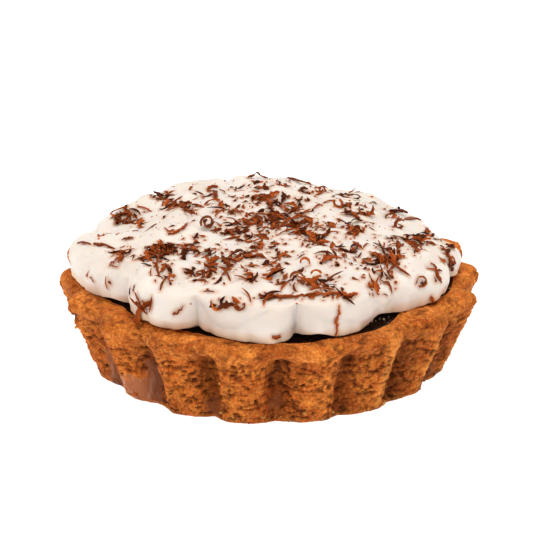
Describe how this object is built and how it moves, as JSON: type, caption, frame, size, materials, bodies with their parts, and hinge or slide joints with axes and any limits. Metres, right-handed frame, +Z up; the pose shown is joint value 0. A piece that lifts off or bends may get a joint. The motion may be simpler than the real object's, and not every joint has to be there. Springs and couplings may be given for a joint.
{
  "type": "banoffee tart",
  "caption": "Round fluted shortcrust tart with a dark toffee filling, a lobed layer of spooned whipped cream over the rim, and curled chocolate shavings strewn on top.",
  "frame": {"origin": "middle of the shell's underside, on the surface that the tart stands on", "axes": "+Z up; -Y is the front that the picture shows; +X is to its right"},
  "size_m": [0.0997, 0.0991, 0.0354],
  "materials": {
    "crust": "baked shortcrust pastry: matt and crumbly on the wall, smoother on the rim",
    "filling": "dark toffee, sticky and glossy",
    "cream": "whipped cream: warm white, soft and slightly translucent",
    "chocolate": "grated milk chocolate, satin, lighter on torn edges"
  },
  "bodies": {
    "root": {"crust": "crust", "filling": "filling", "cream": "cream"}
  },
  "joints": []
}
